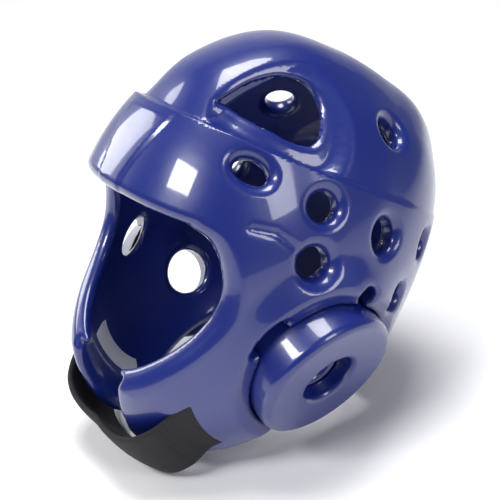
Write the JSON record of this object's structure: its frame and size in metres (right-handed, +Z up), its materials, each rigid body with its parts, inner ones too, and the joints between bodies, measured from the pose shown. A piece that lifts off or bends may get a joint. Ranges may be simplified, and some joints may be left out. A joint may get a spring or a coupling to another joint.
{
  "type": "martial-arts head guard",
  "caption": "Dipped-foam martial-arts head guard with a raised forehead band, a crown ridge, open vents, round ear cups and a black chin strap.",
  "frame": {"origin": "middle of the bounding box in plan, at the height of the surface it stands on", "axes": "+Z up as it stands on its strap and nape edge, +Y to the back of the head, +X to the wearer's left"},
  "size_m": [0.2276, 0.266, 0.2462],
  "materials": {
    "shell_vinyl": "glossy dipped vinyl skin over soft foam",
    "cup_vinyl": "glossy dipped vinyl skin over soft foam",
    "strap_webbing": "matte black elastic webbing",
    "label_cloth": "pale grey satin cloth, bare"
  },
  "bodies": {
    "root": {"shell": "shell_vinyl", "ear_cup_left": "cup_vinyl", "ear_cup_right": "cup_vinyl", "chin_strap": "strap_webbing", "label": "label_cloth"}
  },
  "joints": []
}
